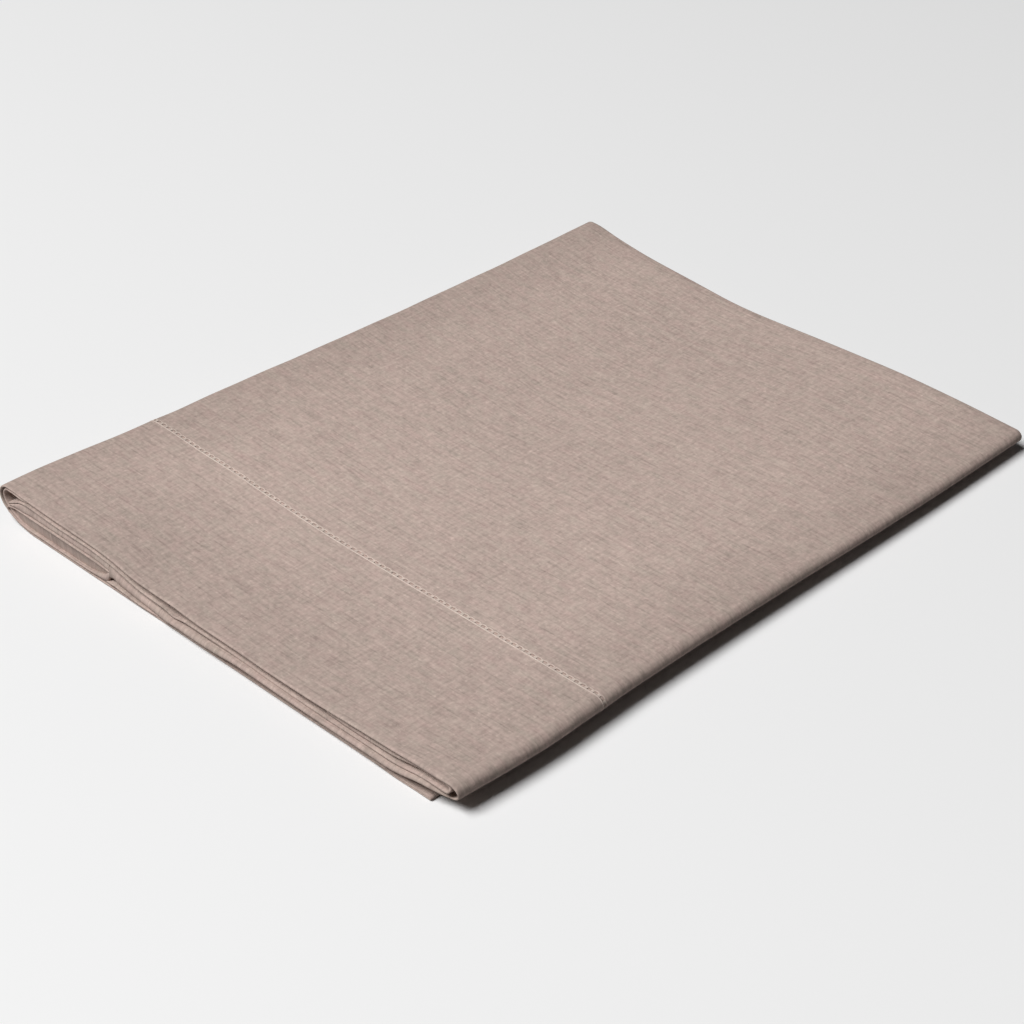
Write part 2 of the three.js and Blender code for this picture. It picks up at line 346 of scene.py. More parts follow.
# How far two side hems lie below their own layers: the fifth's at the front edge and behind it,
# and the third's behind it
FIFTH_HEM_BELOW = (1.0, 0.6)
THIRD_HEM_BELOW = 0.6

# The stack's unevenness: its share of the height, between which depths it fades in, and the
# lengths of its two waves: the first's in x and y, the second's in y and x with its start
UNEVEN = {"share": 0.011, "from": 8, "to": 60, "across": (61, 140), "along": (47, 190, 0.3)}


# The sections of the two plies


def kept_share(way):
    """The share of the front heights that is left on the way to the far edge."""
    return 1 + (FAR_SHARE - 1) * smooth_step(way, HEM / LENGTH, 1)


def height(layer, x, way):
    """The height of a layer's middle: its pressed height, and on top of that what it stands
    above it at the front edge, times the share that is left on the way. The small folds of
    the front edge fade out into the calm heights."""
    if layer == "lowest" or layer == "lowest_hem":
        return np.full_like(x + way, PRESSED[layer])
    if layer == "fifth_hem":
        front, calm = FIFTH_HEM_BELOW
        apart = front + (calm - front) * smooth_step(way, 0, CALM_REACH / LENGTH)
        return height("fifth", x, way) - apart
    if layer == "third_hem":
        front = (follow(FRONT, "x", "third", x) + follow(LIP, "x", "lip", x)) / 2
        calm = follow(CALM, "x", "third", x) - THIRD_HEM_BELOW
    elif layer == "fourth_hem":
        front, calm = follow(LIP, "x", "lip", x), follow(CALM, "x", layer, x)
    else:
        front, calm = follow(FRONT, "x", layer, x), follow(CALM, "x", layer, x)
    front = front + (calm - front) * smooth_step(way, 0, CALM_REACH / LENGTH)
    return PRESSED[layer] + (front - PRESSED[layer]) * kept_share(way)


def half_turn(x, low, high, reach, side, steps):
    """Half an ellipse between two heights, bulging to one side: x and height by the angle."""
    turn = np.linspace(0, np.pi, steps, endpoint=False)
    middle, half = (low + high) / 2, (high - low) / 2
    return x + side * reach * np.sin(turn), middle - half * np.cos(turn)


def third_hem_loft(x):
    """The tucked side hem of the inner ply fills the room between its own layer and the lip:
    half the distance between them, less the least room."""
    return (follow(FRONT, "x", "third", x) - follow(LIP, "x", "lip", x)) / 2 - LEAST_ROOM


def lip_loft(x):
    """The tucked side hem of the outer ply is the thin upper lip of the slot."""
    return np.full_like(x, LIP_LOFT)


# The two plies: the names of their layers, how far the inner one lies inside the folds, which
# way its right side faces, how far the right fold leans, and its tucked side hem
OUTER = {
    "tucked": "fourth", "tucked_hem": "fourth_hem", "top": "top",
    "bottom": "lowest", "bottom_hem": "lowest_hem", "inset": 0.0, "facing": 1.0,
    "lean": 1.4, "hem_moves": 0.0, "steep": STEEP["share"], "hem_loft": lip_loft,
}
INNER = {
    "tucked": "third", "tucked_hem": "third_hem", "top": "second",
    "bottom": "fifth", "bottom_hem": "fifth_hem", "inset": INSET, "facing": -1.0,
    "lean": 0.3, "hem_moves": 1.0, "steep": 1.0, "hem_loft": third_hem_loft,
}

# Where the columns stand along the thirds, closer together where the layers bend
TUCKED_PLACES = np.concatenate([
    np.arange(5, 11, 1.0), np.arange(11, 20, 1.8), np.arange(20, 56, 4), np.arange(56, 71, 1.9),
    np.arange(71, 76.5, 0.6), [76.6, 76.75, 76.9], np.arange(77.3, 79.6, 0.6),
    np.arange(79.6, 112, 3.2), np.arange(112, 130, 1.4), np.arange(130, 204, 4.2),
    np.arange(204, 286.1, 4.1),
])
TOP_PLACES = np.concatenate([
    np.arange(4, 112, 3.3), np.arange(112, 118, 1.5), np.arange(118, 126, 0.8),
    np.arange(126, 132, 1.6), np.arange(132, 286.1, 3.3),
])
BOTTOM_PLACES = np.concatenate([np.arange(0, 1, 0.0165), [1.0]])
HEM_STEPS, TURN_STEPS, FOLD_STEPS, CORNER_STEPS, FOOT_STEPS = 20, 6, 14, 10, 18


def share_of(places):
    """Places as shares of the way from the first to the last."""
    return (places - places[0]) / (places[-1] - places[0])


def section(ply, way):
    """One ply's middle line at each way, as rows of x and height, with how far it is drawn
    back, half the distance in its hem, and its direction.

    It runs from the tucked-in side hem round that side edge, along the tucked-in third, round
    the right fold, over the top, round the left fold, along the bottom, and round the bottom
    side edge into its own side hem."""
    way = np.asarray(way, float)[:, None]
    side = {name: follow(SIDES, "way", name, way) for name in ("left", "right", "hollow", "foot")}
    inset = ply["inset"]

    # The right fold: half an ellipse whose tip is at the side's place
    tip = side["right"] + SIDE_EXTRA - (inset + side["hollow"] if inset else 0)
    at = tip - INSET
    low = height(ply["tucked"], at, way)
    high = height(ply["top"], at, way)
    reach = RIGHT_REACH * (high - low) / 2
    right_x = tip - reach
    fold_x, fold_z = half_turn(right_x, low, high, reach, 1, FOLD_STEPS)
    lean = ply["lean"] * kept_share(way)
    fold_x = fold_x - lean * (high - fold_z) / (high - low)

    # The left fold: an upper corner and a long foot, both quarters of an ellipse
    across = CORNER_ACROSS[0] + (CORNER_ACROSS[1] - CORNER_ACROSS[0]) * way
    down = CORNER_DOWN[0] + (CORNER_DOWN[1] - CORNER_DOWN[0]) * way
    left = side["left"] - SIDE_EXTRA
    start = left + across
    top_z = height("top", start, way)
    shoulder = top_z - down
    turn = np.linspace(0, np.pi / 2, CORNER_STEPS, endpoint=False)
    corner_x, corner_z = quarter(start, shoulder, across, down, np.sin(turn), np.cos(turn), inset)
    turn = np.linspace(0, np.pi / 2, FOOT_STEPS, endpoint=False)
    foot_down = shoulder - PRESSED["lowest"]
    foot_x, foot_z = quarter(
        side["foot"], shoulder, side["foot"] - left, foot_down, np.cos(turn), -np.sin(turn), inset)
    if inset:
        # The inner ply settles onto its own layers' heights away from the fold
        blend = smooth_step(foot_x, *SETTLES_X) * smooth_step(turn, *SETTLES_TURN)
        foot_z = foot_z + (height(ply["bottom"], foot_x, way) - foot_z) * blend
        top_in = height(ply["top"], start, way)
        corner_z = corner_z + (top_in - corner_z[:, :1]) * np.cos(
            np.linspace(0, np.pi / 2, CORNER_STEPS, endpoint=False)) ** 2

    ones = np.ones_like(way)
    tucked_x = TUCKED_X + (right_x - lean - TUCKED_X) * share_of(TUCKED_PLACES)[:-1]
    edge_low = height(ply["tucked"], TUCKED_X * ones, way)
    edge_high = height(ply["tucked_hem"], TUCKED_X * ones, way)
    hem_x = SIDE_HEM_X + (TUCKED_X - SIDE_HEM_X) * np.linspace(0, 1, HEM_STEPS, endpoint=False)
    hem_x = hem_x * ones
    turn_x, turn_z = half_turn(
        TUCKED_X * ones, edge_high, edge_low, abs(edge_high - edge_low) / 2, -1, TURN_STEPS)
    top_x = right_x + (corner_x[:, :1] - right_x) * (1 - share_of(TOP_PLACES)[::-1])[:-1]
    bottom_start = side["foot"] + AFTER_FOOT
    bottom_x = bottom_start + (BOTTOM_X - bottom_start) * BOTTOM_PLACES[:-1]
    low_edge = height(ply["bottom"], BOTTOM_X * ones, way)
    high_edge = height(ply["bottom_hem"], BOTTOM_X * ones, way)
    end_x, end_z = half_turn(
        BOTTOM_X * ones, low_edge, high_edge, abs(high_edge - low_edge) / 2, 1, TURN_STEPS)
    back_x = BOTTOM_X + (BOTTOM_HEM_X - BOTTOM_X) * np.linspace(0, 1, HEM_STEPS) * ones

    parts = [
        (hem_x, height(ply["tucked_hem"], hem_x, way), ply["tucked"]),
        (turn_x, turn_z, ply["tucked"]),
        (tucked_x, height(ply["tucked"], tucked_x, way), ply["tucked"]),
        (fold_x, fold_z, "fold"),
        (top_x, height(ply["top"], top_x, way), ply["top"]),
        (corner_x, corner_z, "corner"),
        (foot_x, foot_z, "foot"),
        (bottom_x, height(ply["bottom"], bottom_x, way), ply["bottom"]),
        (end_x, end_z, ply["bottom"]),
        (back_x, height(ply["bottom_hem"], back_x, way), ply["bottom"]),
    ]
    x = np.concatenate([part[0] for part in parts], 1)
    z = np.concatenate([part[1] for part in parts], 1)
    back = np.concatenate([front_value(BACK, ply, *part) for part in parts], 1)
    loft = np.concatenate([front_value(LOFT, ply, *part) for part in parts], 1)
    inside = hem_x.shape[1]
    along_hem = smooth_step(hem_x, HEM_BACK["from"], HEM_BACK["to"])
    back[:, :inside] += ply["hem_moves"] * (
        HEM_BACK["left"] + (HEM_BACK["right"] - HEM_BACK["left"]) * along_hem)
    loft[:, :inside] = ply["hem_loft"](hem_x)
    loft[:, inside:inside + TURN_STEPS] = ply["hem_loft"](turn_x[:, :1])
    along = unit(np.stack([np.gradient(x, axis=1), np.gradient(z, axis=1)], -1))
    flat = np.concatenate([np.full(part[0].shape[1], part[2] in FRONT) for part in parts])
    flat[inside:inside + TURN_STEPS] = False
    flat[-HEM_STEPS - TURN_STEPS:-HEM_STEPS] = False
    along[:, flat, 0] = np.sign(along[:, flat, 0])
    along[:, flat, 1] = 0
    return x, z, back, loft, along


def quarter(x, z, across, down, across_part, down_part, inset):
    """A quarter of an ellipse about a centre, moved towards its inside by the inset."""
    nx, nz = down * across_part, across * down_part
    size = np.sqrt(nx * nx + nz * nz)
    return (x - across * across_part + inset * nx / size,
            z + down * down_part - inset * nz / size)


def front_value(rows, ply, x, z, place):
    """What a table says of a part of the section at the front: its layer's column, and in a
    fold an even change from one layer's to the other's along it."""
    names = {"fold": ("tucked", "top"), "corner": ("top", "top"), "foot": ("top", "bottom")}
    if place not in names:
        return follow(rows, "x", place, x)
    first, last = (follow(rows, "x", ply[name], x) for name in names[place])
    share = np.linspace(0, 1, x.shape[1])
    return first + (last - first) * smooth_step(share, 0, 1)


def slot_wall(ply, x, loft, depth, side):
    """How far the turned hem of the outer ply's tucked third stands higher behind the front
    edge: it rises in an even S through the room under the lip, and sinks again in another."""
    if ply["tucked"] != "fourth":
        return 0
    under_lip = follow(LIP, "x", "lip", x) - LIP_LOFT - PLY
    room = np.maximum(under_lip - WALL_GAP - follow(FRONT, "x", "fourth", x) - loft, 0)
    start, full = WALL_START
    room = room * smooth_step(x, TUCKED_X + start, TUCKED_X + full) * (x < SIDE_HEM_X)
    first = HEM_STEPS + TURN_STEPS
    tucked = np.zeros(x.shape[1])
    tucked[first:first + len(TUCKED_PLACES) - 1] = 1
    rise = smooth_step(depth, WALL_FROM, WALL_TO) * (1 - smooth_step(depth, WALL_FADES, WALL_ENDS))
    return room * tucked * (rise * (side < 0))[:, None]


def uneven(x, y, depth):
    """How much higher or lower the stack lies than its even heights, as a share of the height:
    the product of two long slanting waves, which fades in behind the front edge."""
    (x_across, y_across), (y_along, x_along, start) = UNEVEN["across"], UNEVEN["along"]
    wave = (np.sin(2 * np.pi * (x / x_across + y / y_across))
            * np.sin(2 * np.pi * (y / y_along - x / x_along + start)))
    return UNEVEN["share"] * wave * smooth_step(depth, UNEVEN["from"], UNEVEN["to"])[:, None]


def unit(vectors):
    """Vectors made one long."""
    return vectors / np.maximum(np.linalg.norm(vectors, axis=-1, keepdims=True), 1e-9)


def ply_rows(ply, depth, side):
    """Rows of points on one ply. depth is each row's distance behind the front edge, and side is
    1 on the cloth's right side, -1 on the turned hem behind it, and between them in the roll.

    Each point lies on the ply's section, moved off it by half the distance in the hem times
    side, and keeps its share of the way from the front outline to the far one. A puffed hem is
    set back by its puff times a share: its bend, times one less the root of one less side
    squared, and its lean, times how far up the roll the point is."""
    way = np.clip(depth / LENGTH, 0, 1)
    x, z, back, loft, along = section(ply, way)
    facing = ply["facing"]
    near = 1 - smooth_step(depth, 0, LOFT_REACH)[:, None]
    move = (PRESSED_LOFT + (loft - PRESSED_LOFT) * near) * side[:, None]
    far = follow(EDGES, "x", "far", x) + FAR_EXTRA - INSET / 2
    front = follow(EDGES, "x", "front", x) + back + PLY / 2
    y = front + (far - front) * (depth / LENGTH)[:, None]
    fat = np.maximum(loft - PRESSED_LOFT, 0) * near
    level = np.sqrt(np.maximum(1 - side ** 2, 0))[:, None]
    rise = -facing * side[:, None] * along[..., 0]
    bend = np.where(rise > 0, ROUND_OVER, ROUND_UNDER)
    shape = bend * (1 - level) + LEAN * np.maximum(rise, 0)
    inside = slice(0, HEM_STEPS + TURN_STEPS)
    hem_lean = HEM_LEAN["share"] * (HEM_LEAN["left"] + (1 - HEM_LEAN["left"]) * smooth_step(
        x[:, inside], HEM_LEAN["from"], HEM_LEAN["to"]))
    shape[:, inside] = hem_lean * (1 + rise[:, inside]) / 2
    steep = ply["steep"] + (1 - ply["steep"]) * smooth_step(
        abs(x - STEEP["x"]), STEEP["from"], STEEP["to"])
    y = y + fat * shape * steep
    wall = slot_wall(ply, x, loft, depth, side)
    z = z + wall
    z = z * (1 + uneven(x, y, depth))
    y = y - WALL_LEAN * wall * (1 - smooth_step(depth, WALL_TO, WALL_LEAN_ENDS))[:, None]
    return np.stack([
        x + facing * move * along[..., 1],
        y,
        z - facing * move * along[..., 0],
    ], -1)


def spaced(first, last, steps, crowd=1.0):
    """Steps from first to last, closer together at first where crowd is over 1."""
    return first + (last - first) * np.linspace(0, 1, steps) ** crowd


# The roll at the front edge: its rows, of which the hem gives the first and the last, how deep
# it is, and a factor on the depth of its own rows
ROLL = 9
HEM_HALF = 0.3
ROLL_OUT = 1.1
roll_turn = np.linspace(-np.pi / 2, np.pi / 2, ROLL)[1:-1]
ROLL_DEPTH = HEM_HALF * (1 - np.cos(roll_turn)) * ROLL_OUT

# The turned hem reaches this far past the hemstitch, and shows through its holes
TURNED_UNDER = 2.2

# The rows up to the slot's wall, and how closely rows crowd towards the front edge
WALL_ROWS = 5
CROWD = 1.5


def hem_rows(ply, turned_steps, face_steps, end):
    """The turned hem, its roll at the front edge and its face, back to the given depth."""
    behind = spaced(WALL_TO, HEM + TURNED_UNDER, turned_steps - WALL_ROWS + 1, CROWD)[1:]
    turned = np.concatenate([spaced(HEM_HALF, WALL_TO, WALL_ROWS), behind])[::-1]
    face = spaced(HEM_HALF, end, face_steps, CROWD)
    depth = np.concatenate([turned, ROLL_DEPTH, face])
    side = np.concatenate([-np.ones(turned_steps), np.sin(roll_turn), np.ones(face_steps)])
    return ply_rows(ply, depth, side), depth, side


def far_turn(outside, inside, steps):
    """The half fold at the far edge: half ellipses from the outer ply's last row to the inner
    one's, which bulge out by half of INSET."""
    rows = []
    for turn in np.linspace(0, np.pi, steps + 2)[1:-1]:
        middle, half = (outside + inside) / 2, (outside - inside) / 2
        bulge = np.zeros_like(middle)
        bulge[:, 1] = INSET / 2 * np.sin(turn)
        rows.append(middle + half * np.cos(turn) + bulge)
    return np.stack(rows)


# Meshes


def shell(points, half):
    """Both faces and the rims of a sheet about a grid of points: each point moved half the
    thickness along the grid's normal, to one side and to the other."""
    rows, columns = points.shape[:2]
    normal = unit(np.cross(np.gradient(points, axis=1), np.gradient(points, axis=0)))
    corners = np.concatenate([points + normal * half, points - normal * half]).reshape(-1, 3)
    count = rows * columns
    grid = np.arange(count).reshape(rows, columns)
    a, b, c, d = grid[:-1, :-1], grid[:-1, 1:], grid[1:, 1:], grid[1:, :-1]
    upper = np.stack([a, b, c, d], -1).reshape(-1, 4)
    ring = np.concatenate([grid[0, :-1], grid[:-1, -1], grid[-1, :0:-1], grid[:0:-1, 0]])
    after = np.roll(ring, -1)
    rim = np.stack([after, ring, ring + count, after + count], -1)
    return corners, np.concatenate([upper, upper[:, ::-1] + count, rim])


def to_frame(points):
    """From millimetres at the fold and the front edge to metres in the part's frame."""
    return (points - np.array([MIDDLE_X, MIDDLE_Y, 0.0])) / 1000


SHARP = 62.0


def make_object(name, parts, uv_parts):
    """One mesh of several parts, each a list of points and of faces, with a UV map. Edges
    sharper than SHARP degrees, such as the sheet's cut ones, are shaded sharp."""
    points = np.concatenate([part[0] for part in parts])
    starts = np.cumsum([0] + [len(part[0]) for part in parts[:-1]])
    faces = np.concatenate([part[1] + start for part, start in zip(parts, starts)])
    mesh = bpy.data.meshes.new(name)
    mesh.vertices.add(len(points))
    mesh.vertices.foreach_set("co", to_frame(points).astype(np.float32).ravel())
    mesh.loops.add(faces.size)
    mesh.loops.foreach_set("vertex_index", faces.astype(np.int32).ravel())
    mesh.polygons.add(len(faces))
    mesh.polygons.foreach_set("loop_start", np.arange(0, faces.size, 4, dtype=np.int32))
    mesh.update(calc_edges=True)
    uv = np.concatenate(uv_parts)[faces.ravel()]
    layer = mesh.uv_layers.new(name="cloth")
    layer.data.foreach_set("uv", uv.astype(np.float32).ravel())
    mesh.polygons.foreach_set("use_smooth", np.ones(len(faces), bool))
    mesh.set_sharp_from_angle(angle=math.radians(SHARP))
    mesh.validate()
    thing = bpy.data.objects.new(name, mesh)
    bpy.context.scene.collection.objects.link(thing)
    return thing


def signed_volume(points, faces):
    """The volume that quads enclose, below zero where they face inwards: a sixth of the sum of
    the triple products of the two triangles in each."""
    a, b, c, d = (points[faces[:, i]] for i in range(4))
    return (np.einsum("ij,ij->i", a, np.cross(b, c)).sum()
            + np.einsum("ij,ij->i", a, np.cross(c, d)).sum()) / 6


def outward(points, faces):
    """The same faces, turned round if they enclose less than nothing."""
    return (points, faces[:, ::-1]) if signed_volume(points, faces) < 0 else (points, faces)


# The cloth

# Rows in its parts, how closely the body's crowd towards the hemstitch, and how far behind the
# hemstitch the body comes to lie in the middle of its layer
TURNED_ROWS, HEM_FACE_ROWS, BODY_ROWS = 13, 24, 44
INNER_TURNED_ROWS, INNER_ROWS, FAR_ROWS = 10, 26, 5
BODY_CROWD = 1.05
SETTLES = 14

# The cloth's own length in the far fold, by row and in all
FAR_STEP, FAR_LENGTH = 0.5, 3

hem_points, hem_depth, hem_side = hem_rows(OUTER, TURNED_ROWS, HEM_FACE_ROWS, HEM - GAP_HALF)
body_depth = spaced(HEM + GAP_HALF, LENGTH, BODY_ROWS, BODY_CROWD)
body_outer = ply_rows(OUTER, body_depth, 1 - smooth_step(body_depth, HEM, HEM + SETTLES))
inner_points, inner_depth, inner_side = hem_rows(INNER, INNER_TURNED_ROWS, INNER_ROWS, LENGTH)
turn_rows = far_turn(body_outer[-1], inner_points[-1], FAR_ROWS)
body_points = np.concatenate([body_outer, turn_rows, inner_points[::-1]])

# Places along the cloth, for the weave: s across the thirds, and v from the front edge
middle_row = section(OUTER, [0.5])
s_place = np.concatenate([[0], np.cumsum(np.hypot(
    np.diff(middle_row[0][0]), np.diff(middle_row[1][0])))])
v_hem = np.where(hem_side < 0, -hem_depth, hem_depth)
v_body = np.concatenate([
    body_depth, LENGTH + np.arange(1, FAR_ROWS + 1) * FAR_STEP,
    2 * LENGTH + FAR_LENGTH - np.where(inner_side < 0, -inner_depth, inner_depth)[::-1],
])


def grid_uv(v_rows):
    """Each point's place on the cloth, in metres, for both faces of a shell."""
    s, v = np.meshgrid(s_place, v_rows)
    flat = np.stack([s, v], -1).reshape(-1, 2) / 1000
    return np.concatenate([flat, flat])


parts = [outward(*shell(hem_points, PLY / 2)), outward(*shell(body_points, PLY / 2))]
cloth = make_object("linen_cloth", parts, [grid_uv(v_hem), grid_uv(v_body)])


# The hemstitch: bars across the drawn-thread gap, and whipped edges along it

REPEAT = 3.6
SIDES_ROUND = 6

# A bar's half width by its share of the way across, how far it reaches past the gap as a share
# of it, its height as a share of its width, and how far to both sides its direction is taken
BAR_WAY = np.array([0, 0.1, 0.3, 0.5, 0.7, 0.9, 1.0])
BAR_HALF = np.array([0.02, 1.1, 0.85, 0.62, 0.85, 1.1, 0.02])
BAR_PAST = 0.35
BAR_HIGH = 0.22
TANGENT = 0.5

# The whipped edges: the row of the line, how far behind it, half width, half height, and how
# far the scallops reach round the holes
EDGE_LINES = ((0, -0.36, 0.43, 0.24, 0.0), (2, 0.18, 0.23, 0.18, 0.42))

# Their steps, their height above the cloth's middle, half their width at the ends, and the
# length of a stitch with the share by which it swells
EDGE_STEP, EDGE_LIFT, EDGE_END = 0.3, 0.16, 0.01
STITCH, STITCH_DEPTH = 0.9, 0.1


def tube(centre, across, up, wide, high, sides):
    """Tubes along rows of centre points, count x steps x 3: an ellipse of the given half sizes
    at each point, on the two directions across it, by the angle round it."""
    turn = np.arange(sides) / sides * 2 * np.pi
    ring = (centre[:, :, None] + across[:, :, None] * (wide[..., None] * np.cos(turn))[..., None]
            + up[:, :, None] * (high[..., None] * np.sin(turn))[..., None])
    count, steps = centre.shape[:2]
    index = np.arange(count * steps * sides).reshape(count, steps, sides)
    a, b = index[:, :-1], np.roll(index[:, :-1], -1, 2)
    c, d = np.roll(index[:, 1:], -1, 2), index[:, 1:]
    faces = np.stack([a, b, c, d], -1).reshape(-1, 4)
    return ring.reshape(-1, 3), faces


line_rows = ply_rows(OUTER, np.array([HEM - GAP_HALF, HEM, HEM + GAP_HALF]), np.ones(3))
line_s = np.concatenate([[0], np.cumsum(np.linalg.norm(np.diff(line_rows[1], axis=0), axis=1))])
line_up = unit(np.cross(line_rows[2] - line_rows[0], np.gradient(line_rows[1], axis=0)))


def on_line(values, s):
    """Values along the hemstitch line at each distance s along it, even between its points."""
    return np.stack([np.interp(s, line_s, values[:, i]) for i in range(3)], -1)


def hemstitch_bars(length):
    """Bars at every repeat of the hemstitch, from one edge of the gap to the other, flat and
    drawn together in the middle: the half width follows BAR_HALF along the way across."""
    bar_s = np.arange(REPEAT / 2, length, REPEAT)
    near, far_side = (on_line(line_rows[i], bar_s) for i in (0, 2))
    up = on_line(line_up, bar_s)
    along = unit(on_line(line_rows[1], bar_s + TANGENT)
                 - on_line(line_rows[1], bar_s - TANGENT))
    way = BAR_WAY * (1 + 2 * BAR_PAST) - BAR_PAST
    centre = near[:, None] + (far_side - near)[:, None] * way[None, :, None]
    half = BAR_HALF[None] * np.ones((len(bar_s), 1))
    steps = len(BAR_WAY)
    return tube(centre, np.repeat(along[:, None], steps, 1), np.repeat(up[:, None], steps, 1),
                half, half * BAR_HIGH, SIDES_ROUND)


def hemstitch_edge(length, row, out, wide, high, scallop):
    """A line of whipping along one edge of the gap. It lies out behind its row, and scallop
    further at a hole, times the size of a cosine that is nothing at the bars. Its width waves a
    little with each stitch."""
    whip_s = np.arange(0, length, EDGE_STEP)
    base = on_line(line_rows[row], whip_s)
    up = on_line(line_up, whip_s)
    outward_way = unit(np.cross(unit(np.gradient(base, axis=0)), up))
    outward_way = outward_way * np.sign(outward_way[:, 1:2])
    offset = out + scallop * np.abs(np.cos(np.pi * whip_s / REPEAT))
    middle = base + up * EDGE_LIFT + outward_way * offset[:, None]
    thick = wide * (1 + STITCH_DEPTH * np.cos(2 * np.pi * whip_s / STITCH))
    thick[[0, -1]] = EDGE_END
    return tube(middle[None], outward_way[None], up[None], thick[None],
                high / wide * thick[None], SIDES_ROUND)


bars = hemstitch_bars(line_s[-1])
whip = [hemstitch_edge(line_s[-1], *line) for line in EDGE_LINES]
stitch_parts = [outward(*part) for part in (bars, *whip)]
stitch_uv = [part[0][:, :2] / 1000 for part in stitch_parts]
stitching = make_object("hemstitch_threads", stitch_parts, stitch_uv)


# Materials


def add_node(tree, node, **inputs):
    """A new node whose inputs, by name or as _ and a number, are linked where they are given a
    socket, and set otherwise."""
    made = tree.nodes.new(node)
    for name, value in inputs.items():
        socket = made.inputs[int(name[1:])] if name[1:].isdigit() else made.inputs[name]
        if isinstance(value, bpy.types.NodeSocket):
            tree.links.new(value, socket)
        else:
            socket.default_value = value
    return made


def arithmetic(tree, operation, first, second, third=0.0):
    """One sum, product or other step on two numbers, or multiply-add on three."""
    made = add_node(tree, "ShaderNodeMath", _0=first, _1=second, _2=third)
    made.operation = operation
    return made.outputs[0]


# The noises' roughness, and their shift across the hem as a share of that along it
NOISE_ROUGHNESS = 0.55
SHIFT_ACROSS = 0.7


def noise(tree, place, along, across, detail, shift):
    """Even random values round 0 on the cloth, in spots that are so many metres long along the
    hem and across it."""
    spread = add_node(tree, "ShaderNodeMapping", Vector=place,
                      Scale=(1 / along, 1 / across, 1),
                      Location=(shift, shift * SHIFT_ACROSS, 0))
    made = add_node(tree, "ShaderNodeTexNoise", Vector=spread.outputs[0], Scale=1.0,
                    Detail=detail, Roughness=NOISE_ROUGHNESS)
    made.noise_dimensions = "2D"
    return arithmetic(tree, "SUBTRACT", made.outputs["Fac"], 0.5)


# The cloth's unevenness: spots' length along the hem and across it in metres, detail, depth of
# tone, and whether they stand out in relief. In turn: threads along the hem, threads across it,
# flecks, fine grain, clouds, and a broad tone. Each noise is YARN_SHIFT on from the one before
YARNS = (
    (0.016, 0.0014, 1.0, 0.31, True),
    (0.0014, 0.010, 1.0, 0.24, True),
    (0.0021, 0.0020, 1.0, 0.36, True),
    (0.0009, 0.0009, 1.0, 0.16, True),
    (0.0075, 0.0060, 2.0, 0.18, False),
    (0.11, 0.09, 1.0, 0.14, False),
)
YARN_SHIFT = 3.7

# Slubs and pale specks: they show where their own noise is over a level
SPOTS = (
    {"along": 0.016, "across": 0.0011, "from": 0.19, "to": 0.27, "depth": -0.10, "shift": 40.0},
    {"along": 0.0020, "across": 0.0014, "from": 0.27, "to": 0.34, "depth": 0.15, "shift": 49.0},
)
SPOT_RELIEF = 0.25

# Clouds and streaks that are pinker or greyer: their sizes, detail, shift and depth, and what
# they add to red, green and blue
TINTS = ((0.0065, 0.0055, 3.0, 61.0, 0.12), (0.030, 0.0040, 1.0, 75.0, 0.07))
TINT_PARTS = {"Red": 0.45, "Green": -0.45, "Blue": -0.1}


def weave_group():
    """The uneven tone of woven linen: the colour times one plus the depth times the sum of its
    noises, which are streaks of thicker and thinner yarn along the hem and across it, flecks, a
    few slubs and pale specks, and clouds. A second sum makes it pinker or greyer. The relief is
    the sum of the fine ones."""
    group = bpy.data.node_groups.new("linen weave", "ShaderNodeTree")
    for name, kind in (("Place", "Vector"), ("Colour", "Color"), ("Depth", "Float")):
        group.interface.new_socket(name, in_out="INPUT", socket_type="NodeSocket" + kind)
    for name, kind in (("Colour", "Color"), ("Height", "Float")):
        group.interface.new_socket(name, in_out="OUTPUT", socket_type="NodeSocket" + kind)
    given = group.nodes.new("NodeGroupInput")
    place, depth = given.outputs["Place"], given.outputs["Depth"]
    tone, relief = 0.0, 0.0
    for i, (along, across, detail, weight, stands_out) in enumerate(YARNS):
        value = noise(group, place, along, across, detail, YARN_SHIFT * i)
        tone = arithmetic(group, "MULTIPLY_ADD", value, weight, tone)
        if stands_out:
            relief = arithmetic(group, "MULTIPLY_ADD", value, weight, relief)
    for spot in SPOTS:
        value = noise(group, place, spot["along"], spot["across"], 0.0, spot["shift"])
        found = add_node(group, "ShaderNodeMapRange", Value=value,
                         _1=spot["from"], _2=spot["to"])
        tone = arithmetic(group, "MULTIPLY_ADD", found.outputs[0], spot["depth"], tone)
        relief = arithmetic(group, "MULTIPLY_ADD", found.outputs[0], SPOT_RELIEF, relief)
    factor = arithmetic(group, "MULTIPLY_ADD", tone, depth, 1.0)
    pink = 0.0
    for along, across, detail, shift, weight in TINTS:
        value = noise(group, place, along, across, detail, shift)
        pink = arithmetic(group, "MULTIPLY_ADD", value, weight, pink)
    pink = arithmetic(group, "MULTIPLY", pink, depth)
    tint = add_node(group, "ShaderNodeCombineColor", **{
        part: arithmetic(group, "MULTIPLY_ADD", pink, amount, factor)
        for part, amount in TINT_PARTS.items()})
    shade = add_node(group, "ShaderNodeMix")
    shade.data_type, shade.blend_type = "RGBA", "MULTIPLY"
    shade.inputs["Factor"].default_value = 1.0
    group.links.new(given.outputs["Colour"], shade.inputs[6])
    group.links.new(tint.outputs[0], shade.inputs[7])
    end = add_node(group, "NodeGroupOutput")
    group.links.new(shade.outputs[2], end.inputs["Colour"])
    group.links.new(relief, end.inputs["Height"])
    return group


weave = weave_group()

# Each finish: colour, depth of the uneven tone, and strength of the relief
LINEN = {"colour": (0.524, 0.411, 0.360), "depth": 1.0, "bump": 0.35}
THREAD = {"colour": (0.65, 0.54, 0.475), "depth": 0.8, "bump": 0.3}

# The relief's height in metres, and how the surface reflects
RELIEF = 0.00025
ROUGHNESS, SPECULAR = 0.92, 0.2

